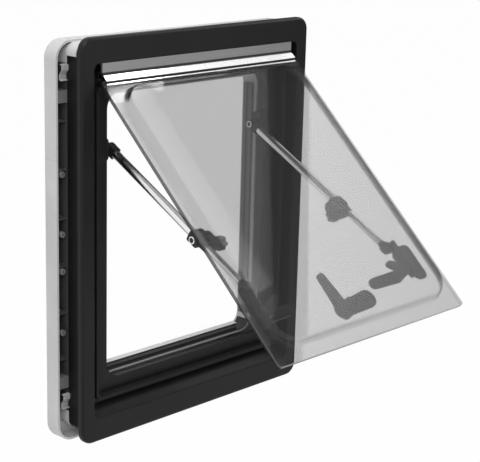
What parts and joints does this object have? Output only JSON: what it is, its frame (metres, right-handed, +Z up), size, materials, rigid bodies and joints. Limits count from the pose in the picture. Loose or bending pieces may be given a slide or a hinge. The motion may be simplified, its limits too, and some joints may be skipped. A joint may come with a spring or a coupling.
{
  "type": "caravan window",
  "caption": "Top-hung caravan window with a black outer frame, light inner frame, double acrylic sash, telescopic stays with clamp knobs, and turning catches.",
  "frame": {"origin": "on the back face of the flange, which lies against the outside of the wall, at the middle of its bottom strip", "axes": "+X right as seen from outside, +Y through the wall into the room, +Z up"},
  "size_m": [0.434, 0.3874, 0.546],
  "materials": {
    "black_frame": "satin moulded polyurethane",
    "seal_rubber": "soft matt",
    "rail_aluminium": "extruded, satin",
    "stay_aluminium": "drawn tube, satin",
    "light_trim": "fine-grained moulding",
    "grey_trim": "matt",
    "outer_acrylic": "clear grey acrylic sheet",
    "inner_acrylic": "clear formed acrylic sheet",
    "black_fittings": "moulded nylon"
  },
  "bodies": {
    "frame": {"outer_frame": "black_frame", "frame_seal": "seal_rubber", "hinge_rail": "rail_aluminium", "inner_frame": "light_trim", "frame_clamps": "grey_trim", "upper_blind_bar": "light_trim", "lower_blind_bar": "light_trim", "blind_guide_left": "grey_trim", "blind_guide_right": "grey_trim", "stay_anchor_left": "black_fittings", "stay_anchor_right": "black_fittings"},
    "sash": {"outer_pane": "outer_acrylic", "inner_pane": "inner_acrylic", "sash_rail": "rail_aluminium", "stay_mount_left": "black_fittings", "stay_mount_right": "black_fittings", "catch_base_left": "black_fittings", "catch_base_centre": "black_fittings", "catch_base_right": "black_fittings"},
    "stay_left": {"stay_tube_left": "stay_aluminium", "stay_eye_left": "black_fittings", "stay_clamp_left": "black_fittings"},
    "knob_left": {"stay_knob_left": "black_fittings"},
    "rod_left": {"stay_rod_left": "stay_aluminium", "rod_end_left": "black_fittings"},
    "stay_right": {"stay_tube_right": "stay_aluminium", "stay_eye_right": "black_fittings", "stay_clamp_right": "black_fittings"},
    "knob_right": {"stay_knob_right": "black_fittings"},
    "rod_right": {"stay_rod_right": "stay_aluminium", "rod_end_right": "black_fittings"},
    "catch_left": {"catch_lever_left": "black_fittings"},
    "catch_centre": {"catch_lever_centre": "black_fittings"},
    "catch_right": {"catch_lever_right": "black_fittings"}
  },
  "joints": [
    {"name": "sash_hinge", "type": "hinge", "parent": "frame", "child": "sash", "pos_m": [0, -0.004, 0.4835], "axis": [-1, 0, 0], "range_deg": [-47.3, 0]},
    {"name": "stay_left_pivot", "type": "hinge", "parent": "frame", "child": "stay_left", "pos_m": [-0.136, 0.024, 0.3832], "axis": [-1, 0, 0], "range_deg": [-59.85, 0]},
    {"name": "rod_left_slide", "type": "slide", "parent": "stay_left", "child": "rod_left", "axis": [0, -0.8851, -0.4654], "range_m": [-0.06241, 0]},
    {"name": "knob_left_turn", "type": "hinge", "parent": "stay_left", "child": "knob_left", "pos_m": [-0.136, -0.15475, 0.28696], "axis": [-1, 0, 0], "range_deg": [-180, 0]},
    {"name": "stay_right_pivot", "type": "hinge", "parent": "frame", "child": "stay_right", "pos_m": [0.136, 0.024, 0.3832], "axis": [-1, 0, 0], "range_deg": [-59.85, 0]},
    {"name": "rod_right_slide", "type": "slide", "parent": "stay_right", "child": "rod_right", "axis": [0, -0.8851, -0.4654], "range_m": [-0.06241, 0]},
    {"name": "knob_right_turn", "type": "hinge", "parent": "stay_right", "child": "knob_right", "pos_m": [0.136, -0.15475, 0.28696], "axis": [1, 0, 0], "range_deg": [-180, 0]},
    {"name": "catch_left_turn", "type": "hinge", "parent": "sash", "child": "catch_left", "pos_m": [-0.133, -0.27004, 0.23801], "axis": [0, -0.6782, 0.7349], "range_deg": [-90, 0]},
    {"name": "catch_centre_turn", "type": "hinge", "parent": "sash", "child": "catch_centre", "pos_m": [0.001, -0.28621, 0.22309], "axis": [0, -0.6782, 0.7349], "range_deg": [-95, 0]},
    {"name": "catch_right_turn", "type": "hinge", "parent": "sash", "child": "catch_right", "pos_m": [0.133, -0.27004, 0.23801], "axis": [0, 0.6782, -0.7349], "range_deg": [-90, 0]}
  ],
  "couplings": [
    {"joint": "stay_left_pivot", "follows": "sash_hinge", "ratio": 1.2652},
    {"joint": "rod_left_slide", "follows": "sash_hinge", "m_per_rad": 0.075592},
    {"joint": "stay_right_pivot", "follows": "sash_hinge", "ratio": 1.2652},
    {"joint": "rod_right_slide", "follows": "sash_hinge", "m_per_rad": 0.075592}
  ]
}
